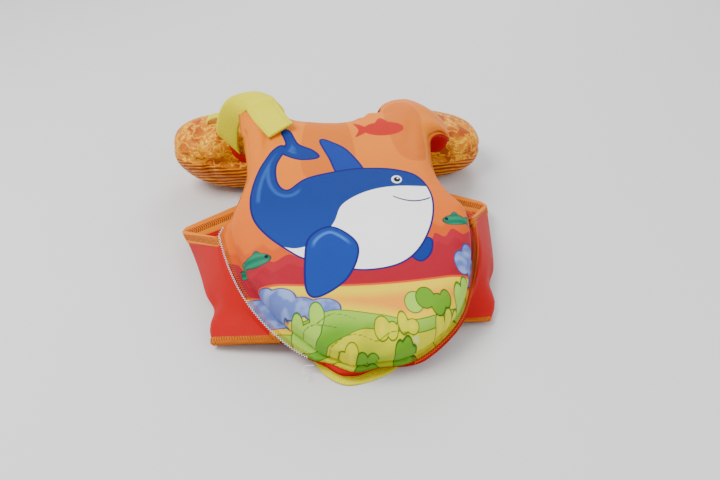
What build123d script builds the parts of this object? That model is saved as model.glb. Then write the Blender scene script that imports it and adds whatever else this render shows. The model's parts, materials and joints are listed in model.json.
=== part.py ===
"""Child's swim float vest: a foam chest float with two padded shoulder arches, a foam collar,
red neoprene wings that open at the back, orange bindings, yellow webbing and a side-release buckle.

Units are millimetres. +Z is up, -Y is the hem end, +X is the right-hand side seen from the hem.
The vest lies on its back on a flat surface at Z = 0, with its collar folded under the shoulders
and its buckle undone.
"""

import os
from math import cos, radians, sin

from build123d import *

# ---------------------------------------------------------------- driving dimensions
FABRIC = 2.0  # printed and lining fabric, laminated neoprene
CLEAR = 0.3  # clearance between pieces that touch

CHEST_TILT = 19.5  # slope of the chest float above the deck
CHEST_TIP = (0.0, -229.0, 7.0)  # lowest point of the chest float's seam
CHEST_EDGE = 10.0  # flat sewn edge outside the foam
CHEST_THICK_HEM = 44.0  # front cover's height over the seam plane, at the hem tip
CHEST_THICK_TOP = 20.0  # and at the shoulders
CHEST_ROUND = 14.0  # rounding of the foam's front edge
HEM_RADIUS, HEM_TURN = 70.0, 30.0  # rounding of the hem tip
CHEST_CORNER = (145.0, 188.0)  # where the side seam meets the armhole
ARMHOLE_MID = (114.0, 268.0)
NECK_V = 333.0  # middle of the neckline
SHOULDER_V = 345.0  # where the chest float ends and the shoulder arches begin
SHOULDER_IN, SHOULDER_OUT = 71.0, 123.0  # inner and outer edge of an arch
FOAM_SLAB = 13.0  # one chest foam sheet

ARCH_RADIUS = 49.0
ARCH_TURN = 80.0
ARCH_THICK = 15.0

COLLAR_LENGTH, COLLAR_DEPTH, COLLAR_HEIGHT = 424.0, 114.0, 92.0
COLLAR_Y = 175.0
COLLAR_CORNER = 50.0
COLLAR_ROUND = 40.0
COLLAR_TAB_R = 5.0
COLLAR_SPLIT_X = 70.0
HINGE_REACH = 9.0  # from the end of an arch to the collar's hinge line

PLY = 3.0  # wing neoprene
BINDING = 5.0
ARM_BINDING_W, HEM_BINDING_W = 15.0, 13.0
# seam, meeting line of the two plies and back edge of the left wing: hem, halfway, armhole
WING_HEM = ((-86, -189, 18), (-210, -151, 5.6), (-74, -192, 5.6))
WING_MID = ((-135, -118, 45), (-175, -76, 7), (-98, -76, 5.6))
WING_ARM = ((-148, -52, 69), (-196, 28, 10), (-122, 97, 5.6))
WING_FOLD_R = (3.2, 5.0, 9.0)

BACK_Z = 4.1  # underside of the back panels, which lie on the belt
BACK_INNER = 78.0  # half the width between the back panels

WEBBING_W, WEBBING_T = 32.0, 2.2
BELT_Y, BELT_Z = -20.0, 1.6
BELT_END = 112.0
BUCKLE_W, BUCKLE_Z0, BUCKLE_T = 42.0, 0.2, 9.0
LADDER = 8.0  # the open end of each buckle half that takes the webbing
PLUG_X, PLUG_LENGTH, PRONG_LENGTH = -26.0, 10.0, 20.0
SOCKET_X, SOCKET_LENGTH, SOCKET_W, SOCKET_H = 10.0, 25.0, 33.0, 5.6
SLIDER_X, SLIDER_LENGTH = -61.0, 16.0

TAB_W, TAB_L, TAB_T = 34.0, 50.0, 4.4  # folded end of the shoulder strap
TAB_AT, TAB_TURN = (-91.0, 361.0), 27.0  # middle of its upper edge on the chest, and its slant
WRAP_START, WRAP_TURN = 101.0, 38.0  # stretch of the left arch that the strap goes round

# ---------------------------------------------------------------- planes
tilt = radians(CHEST_TILT)
chest_plane = Plane(origin=CHEST_TIP, x_dir=(1, 0, 0), z_dir=(0, -sin(tilt), cos(tilt)))
face_drop = (CHEST_THICK_HEM - CHEST_THICK_TOP) / SHOULDER_V  # front cover slopes to the shoulders


def face_plane(inset):
    """The plane of the chest float's front face, inset inwards by that much."""
    origin = chest_plane.from_local_coords((0, 0, CHEST_THICK_HEM - inset))
    normal = chest_plane.from_local_coords((0, face_drop, 1 + CHEST_THICK_HEM - inset)) - origin
    return Plane(origin=origin, x_dir=(1, 0, 0), z_dir=normal)


def mirrored(source):
    """The right-hand twin of a left-hand piece."""
    with BuildPart() as twin:
        add(source.part)
        mirror(about=Plane.YZ, mode=Mode.REPLACE)
    return twin


# ---------------------------------------------------------------- chest float
def chest_outline(inset=0.0):
    """Outline of the chest float, drawn in the chest plane from hem tip to neck."""
    with BuildSketch(chest_plane, mode=Mode.PRIVATE) as sketch:
        with BuildLine():
            tip = CenterArc((0, HEM_RADIUS), HEM_RADIUS, -90, HEM_TURN)
            belly = TangentArc(tip @ 1, CHEST_CORNER, tangent=tip % 1)
            armhole = ThreePointArc(belly @ 1, ARMHOLE_MID, (SHOULDER_OUT, SHOULDER_V))
            Line(armhole @ 1, (SHOULDER_IN, SHOULDER_V))
            mirror(about=Plane.YZ)
            ThreePointArc((SHOULDER_IN, SHOULDER_V), (0, NECK_V), (-SHOULDER_IN, SHOULDER_V))
        make_face()
        if inset:
            offset(amount=-inset, kind=Kind.INTERSECTION)
    return sketch.sketch


def chest_block(inset, rounding):
    """The bulge of the chest float: its outline drawn in, up to its sloping front face."""
    with BuildPart(mode=Mode.PRIVATE) as block:
        add(chest_outline(CHEST_EDGE + inset))
        extrude(amount=CHEST_THICK_HEM + 10)
        split(bisect_by=face_plane(inset), keep=Keep.BOTTOM)
        top = block.faces().sort_by(Axis(CHEST_TIP, chest_plane.z_dir))[-1]
        fillet(top.edges(), rounding)
    return block.part


with BuildPart() as chest_front_cover:
    add(chest_outline())
    extrude(amount=FABRIC)
    add(chest_block(0, CHEST_ROUND))
    add(chest_block(FABRIC, CHEST_ROUND - FABRIC), mode=Mode.SUBTRACT)

with BuildPart() as chest_back_cover:
    add(chest_outline())
    extrude(amount=-FABRIC)



def foam_slab(low, high, inset):
    """One sheet of the chest foam, between two heights over the seam plane."""
    with BuildPart() as slab:
        add(chest_outline(CHEST_EDGE + FABRIC + CLEAR + inset))
        extrude(amount=CHEST_THICK_HEM + 10)
        split(bisect_by=face_plane(FABRIC + CLEAR), keep=Keep.BOTTOM)
        split(bisect_by=chest_plane.offset(low), keep=Keep.TOP)
        if high:
            split(bisect_by=chest_plane.offset(high), keep=Keep.BOTTOM)
    return slab


chest_foam_back = foam_slab(CLEAR, FOAM_SLAB, 6.0)
chest_foam_middle = foam_slab(FOAM_SLAB, 2 * FOAM_SLAB, CHEST_ROUND)
chest_foam_front = foam_slab(2 * FOAM_SLAB, None, CHEST_ROUND)

# ---------------------------------------------------------------- shoulder arches
half = ARCH_THICK / 2
arch_lead = chest_plane.from_local_coords((0, SHOULDER_V, FABRIC + CLEAR + half))
arch_centre = arch_lead - chest_plane.z_dir * ARCH_RADIUS
arch_angle = 90 + CHEST_TILT


def arch_layer(low, high, start=None, turn=ARCH_TURN, spread=0.0):
    """A layer of the left arch, between two distances from its middle line."""
    with BuildPart(mode=Mode.PRIVATE) as layer:
        with BuildSketch(Plane.YZ.offset(-SHOULDER_OUT - spread)):
            with BuildLine():
                middle = (arch_centre.Y, arch_centre.Z)
                angle = arch_angle if start is None else start
                inner = CenterArc(middle, ARCH_RADIUS + low, angle, -turn)
                outer = CenterArc(middle, ARCH_RADIUS + high, angle, -turn)
                Line(inner @ 0, outer @ 0)
                Line(inner @ 1, outer @ 1)
            make_face()
        extrude(amount=SHOULDER_OUT - SHOULDER_IN + 2 * spread)
    return layer.part


with BuildPart() as left_shoulder_lining:
    add(arch_layer(-half, -half + FABRIC))
with BuildPart() as left_shoulder_foam:
    add(arch_layer(-half + FABRIC, half - FABRIC))
with BuildPart() as left_shoulder_cover:
    add(arch_layer(half - FABRIC, half))
right_shoulder_lining = mirrored(left_shoulder_lining)
right_shoulder_foam = mirrored(left_shoulder_foam)
right_shoulder_cover = mirrored(left_shoulder_cover)

# ---------------------------------------------------------------- shoulder strap
with BuildPart() as shoulder_strap_wrap:
    wrap = half + CLEAR + WEBBING_T
    add(arch_layer(-wrap, wrap, WRAP_START, WRAP_TURN, CLEAR + WEBBING_T))
    gap = half + CLEAR
    add(arch_layer(-gap, gap, WRAP_START, WRAP_TURN, CLEAR), mode=Mode.SUBTRACT)

front = face_plane(-1.2)
tab_edge = front.to_local_coords(chest_plane.from_local_coords((*TAB_AT, 0)))
slant = radians(TAB_TURN)
tab_plane = Plane(
    origin=front.from_local_coords((tab_edge.X, tab_edge.Y, 0)),
    x_dir=front.x_dir * cos(slant) + front.y_dir * sin(slant),
    z_dir=front.z_dir,
)
with BuildPart() as strap_end_tab:
    with BuildSketch(tab_plane):
        with Locations((0, -TAB_L / 2)):
            RectangleRounded(TAB_W, TAB_L, 2)
    extrude(amount=TAB_T)

# ---------------------------------------------------------------- collar
end_angle = radians(arch_angle - ARCH_TURN)
HINGE_Y = arch_centre.Y + ARCH_RADIUS * cos(end_angle) + HINGE_REACH * sin(end_angle)
HINGE_Z = arch_centre.Z + ARCH_RADIUS * sin(end_angle) - HINGE_REACH * cos(end_angle)


def collar_half(inset, upward):
    """Upper or lower half of the collar's cushion, drawn in by that much."""
    sign = 1 if upward else -1
    with BuildPart(mode=Mode.PRIVATE) as cushion:
        with BuildSketch(Plane.XY.offset(COLLAR_HEIGHT / 2)):
            with Locations((0, COLLAR_Y)):
                RectangleRounded(
                    COLLAR_LENGTH - 2 * inset, COLLAR_DEPTH - 2 * inset, COLLAR_CORNER - inset
                )
        extrude(amount=sign * (COLLAR_HEIGHT / 2 - inset))
        outer = cushion.faces().sort_by(Axis.Z)[-1 if upward else 0]
        fillet(outer.edges(), COLLAR_ROUND - inset)
    return cushion.part


def collar_cover(upward):
    """The fabric shell over one half of the collar's foam."""
    with BuildPart() as cover:
        add(collar_half(0, upward))
        add(collar_half(FABRIC, upward), mode=Mode.SUBTRACT)
    return cover


collar_top_cover = collar_cover(True)
collar_bottom_cover = collar_cover(False)

with BuildPart() as collar_core:
    add(collar_half(FABRIC + CLEAR, True))
    add(collar_half(FABRIC + CLEAR, False))


def collar_foam(low_x, high_x):
    """The stretch of the collar's foam between two distances along it."""
    with BuildPart() as foam:
        add(collar_core.part)
        with Locations(((low_x + high_x) / 2, COLLAR_Y, COLLAR_HEIGHT / 2)):
            Box(high_x - low_x, COLLAR_DEPTH, COLLAR_HEIGHT, mode=Mode.INTERSECT)
    return foam


collar_foam_left = collar_foam(-COLLAR_LENGTH / 2, -COLLAR_SPLIT_X - 1)
collar_foam_centre = collar_foam(-COLLAR_SPLIT_X, COLLAR_SPLIT_X)
collar_foam_right = collar_foam(COLLAR_SPLIT_X + 1, COLLAR_LENGTH / 2)

with BuildPart() as left_collar_tab:
    with BuildSketch(Plane.YZ.offset(-SHOULDER_OUT)):
        with Locations((HINGE_Y, HINGE_Z)):
            Circle(COLLAR_TAB_R)
        with Locations((HINGE_Y + 1.5, (HINGE_Z + COLLAR_HEIGHT) / 2)):
            Rectangle(2 * COLLAR_TAB_R - 3, HINGE_Z - COLLAR_HEIGHT)
    extrude(amount=SHOULDER_OUT - SHOULDER_IN)
right_collar_tab = mirrored(left_collar_tab)

LOOP_X, LOOP_LEG, LOOP_RISE = -150.0, 15.0, 9.0
with BuildPart() as collar_hang_loop:
    with BuildSketch(Plane.XZ.offset(-COLLAR_Y - WEBBING_W / 4)):
        with BuildLine():
            outer = ThreePointArc(
                (LOOP_X - LOOP_LEG, COLLAR_HEIGHT),
                (LOOP_X, COLLAR_HEIGHT + LOOP_RISE),
                (LOOP_X + LOOP_LEG, COLLAR_HEIGHT),
            )
            inner = ThreePointArc(
                (LOOP_X - LOOP_LEG + WEBBING_T, COLLAR_HEIGHT),
                (LOOP_X, COLLAR_HEIGHT + LOOP_RISE - WEBBING_T),
                (LOOP_X + LOOP_LEG - WEBBING_T, COLLAR_HEIGHT),
            )
            Line(outer @ 0, inner @ 0)
            Line(outer @ 1, inner @ 1)
        make_face()
    extrude(amount=WEBBING_W / 2)


# ---------------------------------------------------------------- wings
def fold_section(points, radius, thickness):
    """A ply folded once, cut at its seam, fold and back edge: the section and its plane."""
    seam, fold, back = (Vector(p) for p in points)
    plane = Plane(origin=fold, x_dir=seam - fold, z_dir=(seam - fold).cross(back - fold))
    seam_end, back_end = plane.to_local_coords(seam), plane.to_local_coords(back)
    along, across = back_end.normalized(), Vector(-back_end.Y, back_end.X).normalized()
    bisector = (Vector(1, 0) + along).normalized()
    reach = thickness / 2 / bisector.Y
    with BuildSketch(plane, mode=Mode.PRIVATE) as section:
        with BuildLine():
            inside = [seam_end + Vector(0, thickness / 2), bisector * reach,
                      back_end - across * (thickness / 2)]
            outside = [back_end + across * (thickness / 2), bisector * -reach,
                       seam_end - Vector(0, thickness / 2)]
            Polyline(*[(p.X, p.Y) for p in inside + outside], close=True)
        make_face()
        inner = section.vertices().sort_by_distance(bisector * reach)[0]
        fillet(inner, radius - thickness / 2)
        outer = section.vertices().sort_by_distance(bisector * -reach)[0]
        fillet(outer, radius + thickness / 2)
    return section.sketch, plane


with BuildPart() as left_side_panel:
    for points, radius in zip((WING_HEM, WING_MID, WING_ARM), WING_FOLD_R):
        add(fold_section(points, radius, PLY)[0])
    loft()

with BuildPart() as left_armhole_binding:
    section, plane = fold_section(WING_ARM, WING_FOLD_R[2], BINDING)
    add(section)
    extrude(amount=ARM_BINDING_W, dir=plane.z_dir)

with BuildPart() as left_hem_binding:
    section, plane = fold_section(WING_HEM, WING_FOLD_R[0], BINDING)
    add(section)
    extrude(amount=HEM_BINDING_W, dir=-plane.z_dir)

right_side_panel = mirrored(left_side_panel)
right_armhole_binding = mirrored(left_armhole_binding)
right_hem_binding = mirrored(left_hem_binding)

with BuildPart() as left_back_panel:
    with BuildSketch(Plane.XY.offset(BACK_Z)):
        with BuildLine():
            Polyline(
                (-74, -190), (-66, -180), (-BACK_INNER, -60), (-BACK_INNER, 20), (-88, 96),
                (-120.6, 96), (-96.6, -76), close=True,
            )
        make_face()
    extrude(amount=PLY)
right_back_panel = mirrored(left_back_panel)

# ---------------------------------------------------------------- belt and buckle
BUCKLE_Z = BUCKLE_Z0 + BUCKLE_T / 2
WEBBING_Z = BELT_Z + WEBBING_T / 2
prong_y = SOCKET_W / 2 - 5


def webbing(low_x, high_x):
    """A flat length of belt between two distances across the back."""
    with BuildPart() as band:
        with Locations(((low_x + high_x) / 2, BELT_Y, WEBBING_Z)):
            Box(high_x - low_x, WEBBING_W, WEBBING_T)
    return band


def buckle_body(low_x, high_x, ladder_x):
    """A buckle half with an open slot at one end for its webbing."""
    with BuildPart(mode=Mode.PRIVATE) as body:
        with Locations(((low_x + high_x) / 2, BELT_Y, BUCKLE_Z)):
            Box(high_x - low_x, BUCKLE_W, BUCKLE_T)
        fillet(body.edges().filter_by(Axis.X), 3)
        with Locations((ladder_x, BELT_Y, WEBBING_Z)):
            Box(LADDER, WEBBING_W + 1, WEBBING_T + 1, mode=Mode.SUBTRACT)
    return body.part


left_belt_webbing = webbing(-BELT_END, PLUG_X - PLUG_LENGTH - 0.6)
right_belt_webbing = webbing(SOCKET_X + SOCKET_LENGTH + 1, BELT_END)

with BuildPart() as buckle_male_base:
    base_x = PLUG_X - PLUG_LENGTH
    add(buckle_body(base_x - LADDER / 2, PLUG_X, base_x - LADDER / 4))
    with Locations((PLUG_X + PRONG_LENGTH / 2 - 1, BELT_Y, BUCKLE_Z)):
        Box(PRONG_LENGTH - 2, 6, 4)


def buckle_prong(side):
    """One sprung arm of the buckle's plug, with its catch."""
    with BuildPart() as prong:
        with BuildSketch(Plane.XY.offset(BUCKLE_Z - 2)):
            with BuildLine():
                y = BELT_Y + side * prong_y
                Polyline(
                    (PLUG_X + 0.5, y - side * 2), (PLUG_X + PRONG_LENGTH - 2, y - side * 2),
                    (PLUG_X + PRONG_LENGTH, y), (PLUG_X + PRONG_LENGTH - 2, y + side * 2),
                    (PLUG_X + 10, y + side * 3.4), (PLUG_X + 9.5, y + side),
                    (PLUG_X + 0.5, y + side), close=True,
                )
            make_face()
        extrude(amount=4)
    return prong


buckle_prong_front = buckle_prong(-1)
buckle_prong_rear = buckle_prong(1)

with BuildPart() as buckle_female:
    end_x = SOCKET_X + SOCKET_LENGTH
    add(buckle_body(SOCKET_X, end_x + LADDER / 2, end_x + LADDER / 4))
    with Locations((SOCKET_X + 11, BELT_Y, BUCKLE_Z)):
        Box(22, SOCKET_W, SOCKET_H, mode=Mode.SUBTRACT)
    with Locations((SOCKET_X + 14.5, BELT_Y, BUCKLE_Z)):
        Box(9, BUCKLE_W + 2, SOCKET_H, mode=Mode.SUBTRACT)

with BuildPart() as belt_slider:
    with Locations((SLIDER_X, BELT_Y, WEBBING_Z)):
        Box(SLIDER_LENGTH, WEBBING_W + 7, 5)
        Box(SLIDER_LENGTH + 2, WEBBING_W + 0.8, WEBBING_T + 0.8, mode=Mode.SUBTRACT)

# ---------------------------------------------------------------- crotch strap
with BuildPart() as crotch_strap:
    with BuildSketch(Plane.XY.offset(CLEAR)):
        with BuildLine():
            Polyline(
                (-60, -172), (-34, -172), (2, -232), (-24, -232), (-46, -212), close=True,
            )
        make_face()
    extrude(amount=WEBBING_T)
    with BuildSketch(Plane.XY.offset(CLEAR + WEBBING_T)):
        with BuildLine():
            Polyline(
                (-24, -232), (2, -232), (52, -190), (22, -174), (-24, -225), close=True,
            )
        make_face()
    extrude(amount=WEBBING_T)

# ---------------------------------------------------------------- export
pieces = dict(
    chest_front_cover=chest_front_cover,
    chest_back_cover=chest_back_cover,
    chest_foam_front=chest_foam_front,
    chest_foam_middle=chest_foam_middle,
    chest_foam_back=chest_foam_back,
    left_shoulder_cover=left_shoulder_cover,
    right_shoulder_cover=right_shoulder_cover,
    left_shoulder_foam=left_shoulder_foam,
    right_shoulder_foam=right_shoulder_foam,
    left_shoulder_lining=left_shoulder_lining,
    right_shoulder_lining=right_shoulder_lining,
    shoulder_strap_wrap=shoulder_strap_wrap,
    strap_end_tab=strap_end_tab,
    crotch_strap=crotch_strap,
    left_side_panel=left_side_panel,
    right_side_panel=right_side_panel,
    left_armhole_binding=left_armhole_binding,
    right_armhole_binding=right_armhole_binding,
    left_hem_binding=left_hem_binding,
    right_hem_binding=right_hem_binding,
    left_back_panel=left_back_panel,
    right_back_panel=right_back_panel,
    left_belt_webbing=left_belt_webbing,
    right_belt_webbing=right_belt_webbing,
    buckle_male_base=buckle_male_base,
    buckle_prong_front=buckle_prong_front,
    buckle_prong_rear=buckle_prong_rear,
    buckle_female=buckle_female,
    belt_slider=belt_slider,
    collar_top_cover=collar_top_cover,
    collar_bottom_cover=collar_bottom_cover,
    collar_foam_left=collar_foam_left,
    collar_foam_centre=collar_foam_centre,
    collar_foam_right=collar_foam_right,
    left_collar_tab=left_collar_tab,
    right_collar_tab=right_collar_tab,
    collar_hang_loop=collar_hang_loop,
)
os.makedirs("parts", exist_ok=True)
for name, piece in pieces.items():
    piece.part.label = name
    export_step(piece.part, f"parts/{name}.step")
    box = piece.part.bounding_box()
    print(f"{name:24s} {piece.part.volume:10.0f} mm3  "
          f"{[round(v, 1) for v in (*box.min, *box.max)]} {len(piece.part.solids())} solid(s)")
print("collar hinge", HINGE_Y, HINGE_Z)
print("tab hinge", tab_plane.origin, -tab_plane.x_dir)
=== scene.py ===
"""Child's swim float vest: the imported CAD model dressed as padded, printed and sewn soft goods.

Units are metres in the CAD frame: +Z up, -Y the hem end, +X the right-hand side seen from the hem.
Lengths typed in the design sections are millimetres, turned into metres by MM.
"""

import json
import math

import bmesh
import bpy
import numpy as np
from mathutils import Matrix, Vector
from mathutils.bvhtree import BVHTree
from mathutils.geometry import delaunay_2d_cdt

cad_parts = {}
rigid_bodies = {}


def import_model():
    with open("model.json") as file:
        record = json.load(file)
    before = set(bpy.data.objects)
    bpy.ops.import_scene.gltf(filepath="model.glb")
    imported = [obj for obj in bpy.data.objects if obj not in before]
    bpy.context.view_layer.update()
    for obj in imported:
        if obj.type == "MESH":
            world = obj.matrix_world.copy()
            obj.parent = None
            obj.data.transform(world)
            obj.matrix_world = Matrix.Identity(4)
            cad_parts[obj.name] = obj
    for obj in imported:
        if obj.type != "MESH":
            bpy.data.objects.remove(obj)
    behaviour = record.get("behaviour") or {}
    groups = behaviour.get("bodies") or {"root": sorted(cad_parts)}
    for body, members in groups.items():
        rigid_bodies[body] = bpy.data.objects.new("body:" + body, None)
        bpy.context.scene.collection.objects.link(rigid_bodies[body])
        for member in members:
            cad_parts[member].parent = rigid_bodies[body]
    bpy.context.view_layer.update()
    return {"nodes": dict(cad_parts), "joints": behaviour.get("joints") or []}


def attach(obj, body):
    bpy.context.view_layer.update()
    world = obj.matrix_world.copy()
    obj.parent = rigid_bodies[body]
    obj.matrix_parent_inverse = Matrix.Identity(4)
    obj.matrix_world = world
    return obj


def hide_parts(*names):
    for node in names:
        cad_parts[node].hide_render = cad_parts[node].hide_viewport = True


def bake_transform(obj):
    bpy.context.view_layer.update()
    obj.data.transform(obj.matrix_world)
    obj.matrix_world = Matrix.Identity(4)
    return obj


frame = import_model()
MM = 0.001

# ---- camera, light and floor
scene = bpy.context.scene


def add_object(name, data):
    obj = bpy.data.objects.new(name, data)
    scene.collection.objects.link(obj)
    return obj


camera_data = bpy.data.cameras.new("camera")
camera_data.lens, camera_data.sensor_width = 35.0, 36.0
camera = add_object("camera", camera_data)
camera.location = (-0.080, -0.693, 0.537)
heading, pitch = math.radians(8.0), math.radians(36.97)
look = Vector((math.sin(heading) * math.cos(pitch), math.cos(heading) * math.cos(pitch),
               -math.sin(pitch)))
camera.rotation_euler = look.to_track_quat("-Z", "Y").to_euler()
scene.camera = camera

world = bpy.data.worlds.new("studio")
world.use_nodes = True
world.node_tree.nodes["Background"].inputs["Color"].default_value = (0.93, 0.96, 1.0, 1)
world.node_tree.nodes["Background"].inputs["Strength"].default_value = 0.9
scene.world = world


def area_light(name, place, size, power, color):
    data = bpy.data.lights.new(name, "AREA")
    data.shape, data.size, data.energy, data.color = "DISK", size, power, color
    lamp = add_object(name, data)
    lamp.location = place
    lamp.rotation_euler = (Vector((0, 0.02, 0.06)) - lamp.location).to_track_quat("-Z", "Y").to_euler()


area_light("key", (-0.9, -0.2, 1.5), 0.9, 32, (1.0, 0.98, 0.95))
area_light("back", (0.5, 1.5, 1.2), 1.0, 18, (0.96, 0.98, 1.0))
area_light("fill", (1.1, -0.9, 0.9), 1.2, 8, (1.0, 1.0, 1.0))


# ---- shader helpers
class Shader:
    """A node material built line by line: every method returns an output socket."""

    def __init__(self, name, roughness, sheen=0.0):
        self.material = bpy.data.materials.new(name)
        self.material.use_nodes = True
        self.tree = self.material.node_tree
        self.bsdf = self.tree.nodes["Principled BSDF"]
        self.bsdf.inputs["Roughness"].default_value = roughness
        self.bsdf.inputs["Specular IOR Level"].default_value = 0.14
        self.bsdf.inputs["Sheen Weight"].default_value = sheen
        self.bsdf.inputs["Sheen Roughness"].default_value = 0.45
        self.bump = None

    def node(self, kind, inputs=(), out=0, **settings):
        made = self.tree.nodes.new(kind)
        for key, value in settings.items():
            setattr(made, key, value)
        for key, value in dict(inputs).items():
            socket = made.inputs[key]
            if isinstance(value, bpy.types.NodeSocket):
                self.tree.links.new(value, socket)
            else:
                socket.default_value = value
        return made.outputs[out]

    def math(self, operation, a, b=0.0, c=0.0):
        return self.node("ShaderNodeMath", {0: a, 1: b, 2: c}, operation=operation)

    def times(self, a, b):
        return self.math("MULTIPLY", a, b)

    def plus(self, a, b):
        return self.math("ADD", a, b)

    def minus(self, a, b):
        return self.math("SUBTRACT", a, b)

    def mix(self, factor, a, b, blend="MIX"):
        """Blends two colours, each a socket, six hex digits or linear values."""
        a, b = (rgb(v) if isinstance(v, str) else v for v in (a, b))
        a, b = (v + (1,) if isinstance(v, tuple) else v for v in (a, b))
        return self.node("ShaderNodeMix", {0: factor, 6: a, 7: b}, out=2, data_type="RGBA",
                         blend_type=blend)

    def vary(self, color, field, low, high=1.0):
        """Darkens a colour where a field is low."""
        return self.mix(1.0, color, self.math("MULTIPLY_ADD", field, high - low, low), "MULTIPLY")

    def step(self, value, low, high):
        """0 below low, 1 above high, smooth between."""
        return self.node("ShaderNodeMapRange", {0: value, 1: low, 2: high, 3: 0.0, 4: 1.0},
                         interpolation_type="SMOOTHSTEP")

    def read(self, name):
        """The three values stored with the points under a name."""
        return self.split(self.node("ShaderNodeAttribute", out="Vector", attribute_name=name))

    def split(self, vector):
        made = self.tree.nodes.new("ShaderNodeSeparateXYZ")
        self.tree.links.new(vector, made.inputs[0])
        return made.outputs[0], made.outputs[1], made.outputs[2]

    def join(self, x, y, z=0.0):
        return self.node("ShaderNodeCombineXYZ", {0: x, 1: y, 2: z})

    def place(self):
        return self.node("ShaderNodeTexCoord", out=3)

    def noise(self, vector, scale, detail=3.0):
        return self.node("ShaderNodeTexNoise", {"Vector": vector, "Scale": scale, "Detail": detail})

    def ripple(self, value, period):
        """A wave between 0 and 1 that repeats every period."""
        turned = self.math("SINE", self.times(value, 2 * math.pi / period))
        return self.math("MULTIPLY_ADD", turned, 0.5, 0.5)

    def relief(self, height, depth, strength=1.0):
        """Adds a height field, in metres, to the bump."""
        made = {"Height": height, "Distance": depth, "Strength": strength}
        if self.bump:
            made["Normal"] = self.bump
        self.bump = self.node("ShaderNodeBump", made)

    def finish(self, color, roughness=None):
        self.tree.links.new(color, self.bsdf.inputs["Base Color"])
        if roughness is not None:
            self.tree.links.new(roughness, self.bsdf.inputs["Roughness"])
        if self.bump:
            self.tree.links.new(self.bump, self.bsdf.inputs["Normal"])
        return self.material


DEPTH = 1.55    # the power that deepens every colour


def rgb(code):
    """A colour written as six hex digits, as linear values, deepened to hold up under soft white light."""
    values = [int(code[i:i + 2], 16) / 255 for i in (0, 2, 4)]
    linear = [v / 12.92 if v <= 0.04045 else ((v + 0.055) / 1.055) ** 2.4 for v in values]
    return tuple(v ** DEPTH for v in linear)


# ---- mesh helpers
def soften(mesh):
    mesh.polygons.foreach_set("use_smooth", [True] * len(mesh.polygons))


def mesh_object(name, points, faces):
    mesh = bpy.data.meshes.new(name)
    mesh.from_pydata([tuple(p) for p in points], [], [tuple(f) for f in faces])
    mesh.validate()
    soften(mesh)
    return add_object(name, mesh)


def recalculate(obj, merge=True):
    """Merges doubled vertices, unless told to keep them, and turns every face outwards."""
    work = bmesh.new()
    work.from_mesh(obj.data)
    if merge:
        bmesh.ops.remove_doubles(work, verts=work.verts, dist=1e-5)
    bmesh.ops.recalc_face_normals(work, faces=work.faces)
    work.to_mesh(obj.data)
    work.free()
    soften(obj.data)


def bake(obj):
    """Applies all modifiers of an object."""
    graph = bpy.context.evaluated_depsgraph_get()
    graph.update()
    mesh = bpy.data.meshes.new_from_object(obj.evaluated_get(graph))
    old = obj.data
    obj.modifiers.clear()
    obj.data = mesh
    bpy.data.meshes.remove(old)
    mesh.name = obj.name
    soften(mesh)


def modify(obj, kind, **settings):
    modifier = obj.modifiers.new(kind.lower(), kind)
    for key, value in settings.items():
        setattr(modifier, key, value)
    return modifier


def get_points(obj):
    points = np.empty(len(obj.data.vertices) * 3)
    obj.data.vertices.foreach_get("co", points)
    return points.reshape(-1, 3)


def set_points(obj, points):
    obj.data.vertices.foreach_set("co", np.ascontiguousarray(points).ravel())
    obj.data.update()


CLOTH_FRAMES = 20
LOWEST = 0.0006    # a swelled skin stays this far above the ground


def puff(obj, voxel, pressure, cap):
    """Remeshes a closed form evenly and swells it as a cloth skin under air pressure."""
    modify(obj, "REMESH", mode="VOXEL", voxel_size=voxel, use_smooth_shade=True)
    bake(obj)
    modify(obj, "SMOOTH", iterations=4, factor=0.5)
    bake(obj)
    start = get_points(obj)
    cloth = modify(obj, "CLOTH").settings
    cloth.use_pressure = True
    cloth.uniform_pressure_force = pressure
    cloth.effector_weights.gravity = 0.0
    cloth.tension_stiffness = cloth.compression_stiffness = 18.0
    cloth.bending_stiffness = 1.2
    for number in range(1, CLOTH_FRAMES + 1):
        scene.frame_set(number)
    bake(obj)
    scene.frame_set(1)
    moved = get_points(obj) - start
    length = np.linalg.norm(moved, axis=1, keepdims=True)
    moved *= np.minimum(1.0, cap / np.maximum(length, 1e-9))
    set_points(obj, start + moved)
    modify(obj, "SUBSURF", levels=1, render_levels=1)
    bake(obj)
    points = get_points(obj)
    points[:, 2] = np.maximum(points[:, 2], LOWEST)
    set_points(obj, points)


def smooth(value, low, high):
    t = np.clip((value - low) / (high - low), 0.0, 1.0)
    return t * t * (3 - 2 * t)


def hump(value, middle, width):
    return np.exp(-((value - middle) / width) ** 2)


def length_along(line):
    """The distance along a line at each of its points."""
    return np.concatenate([[0], np.cumsum(np.linalg.norm(np.diff(line, axis=0), axis=1))])


def sample(line, along, at):
    """Rows read off between the rows of a line, at some distances along it."""
    return np.column_stack([np.interp(at, along, column) for column in line.T])


def spline(p, steps):
    """A smooth curve from the second point to the last but one, with some steps to each span."""
    t = np.linspace(0, 1, steps, endpoint=False)[:, None]
    return np.vstack([0.5 * (2 * b + (c - a) * t + (2 * a - 5 * b + 4 * c - d) * t**2
                             + (3 * b - a - 3 * c + d) * t**3)
                      for a, b, c, d in zip(p, p[1:], p[2:], p[3:])])


def curve_through(points, count):
    """Evenly spaced samples of a smooth curve through a few points."""
    p = np.asarray(points, float)
    p = np.vstack([2 * p[0] - p[1], p, 2 * p[-1] - p[-2]])
    line = np.vstack([spline(p, 24), p[-2:-1]])
    along = length_along(line)
    return sample(line, along, np.linspace(0, along[-1], count))


def unit(vectors):
    return vectors / np.maximum(np.linalg.norm(vectors, axis=-1, keepdims=True), 1e-12)


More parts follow.
